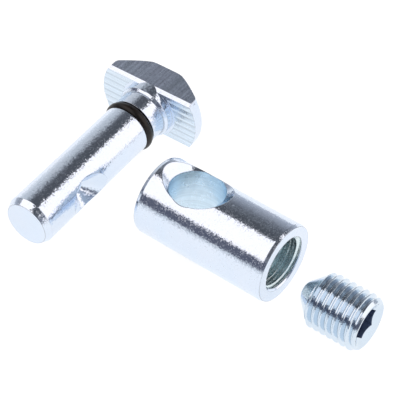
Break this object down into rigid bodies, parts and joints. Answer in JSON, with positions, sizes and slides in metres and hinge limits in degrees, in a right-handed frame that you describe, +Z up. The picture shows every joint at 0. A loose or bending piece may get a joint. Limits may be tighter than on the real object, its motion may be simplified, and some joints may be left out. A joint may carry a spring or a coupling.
{
  "type": "profile quick connector",
  "caption": "Slotted-profile quick connector: a threaded sleeve with a countersunk cross bore, a T-head pin with an O-ring, and a cone-point set screw that wedges the pin tight.",
  "frame": {"origin": "where the cross bore's axis meets the sleeve's axis", "axes": "+X along the sleeve's axis towards its threaded mouth, +Z up from the floor the pieces lie on"},
  "size_m": [0.0683, 0.0401, 0.014],
  "materials": {
    "zinc_steel": "bright blue-passivated zinc plating",
    "rubber": "matte"
  },
  "bodies": {
    "sleeve": {"sleeve": "zinc_steel"},
    "set_screw": {"set_screw": "zinc_steel"},
    "o_ring": {"o_ring": "rubber"},
    "t_pin": {"t_pin": "zinc_steel"}
  },
  "joints": [
    {"name": "screw_turn", "type": "hinge", "parent": "sleeve", "child": "set_screw", "pos_m": [0.0226, -0.0008, -0.0021], "axis": [1, 0, 0], "continuous": true},
    {"name": "pin_lift", "type": "slide", "parent": "sleeve", "child": "o_ring", "axis": [0, 0, 1], "range_m": [0, 0.03]},
    {"name": "head_turn", "type": "hinge", "parent": "o_ring", "child": "t_pin", "pos_m": [-0.0219, -0.0173, -0.0019], "axis": [-0.0349, 0.9994, 0], "range_deg": [0, 90]}
  ],
  "couplings": [
    {"joint": "head_turn", "follows": "pin_lift", "rad_per_m": 52.35}
  ]
}
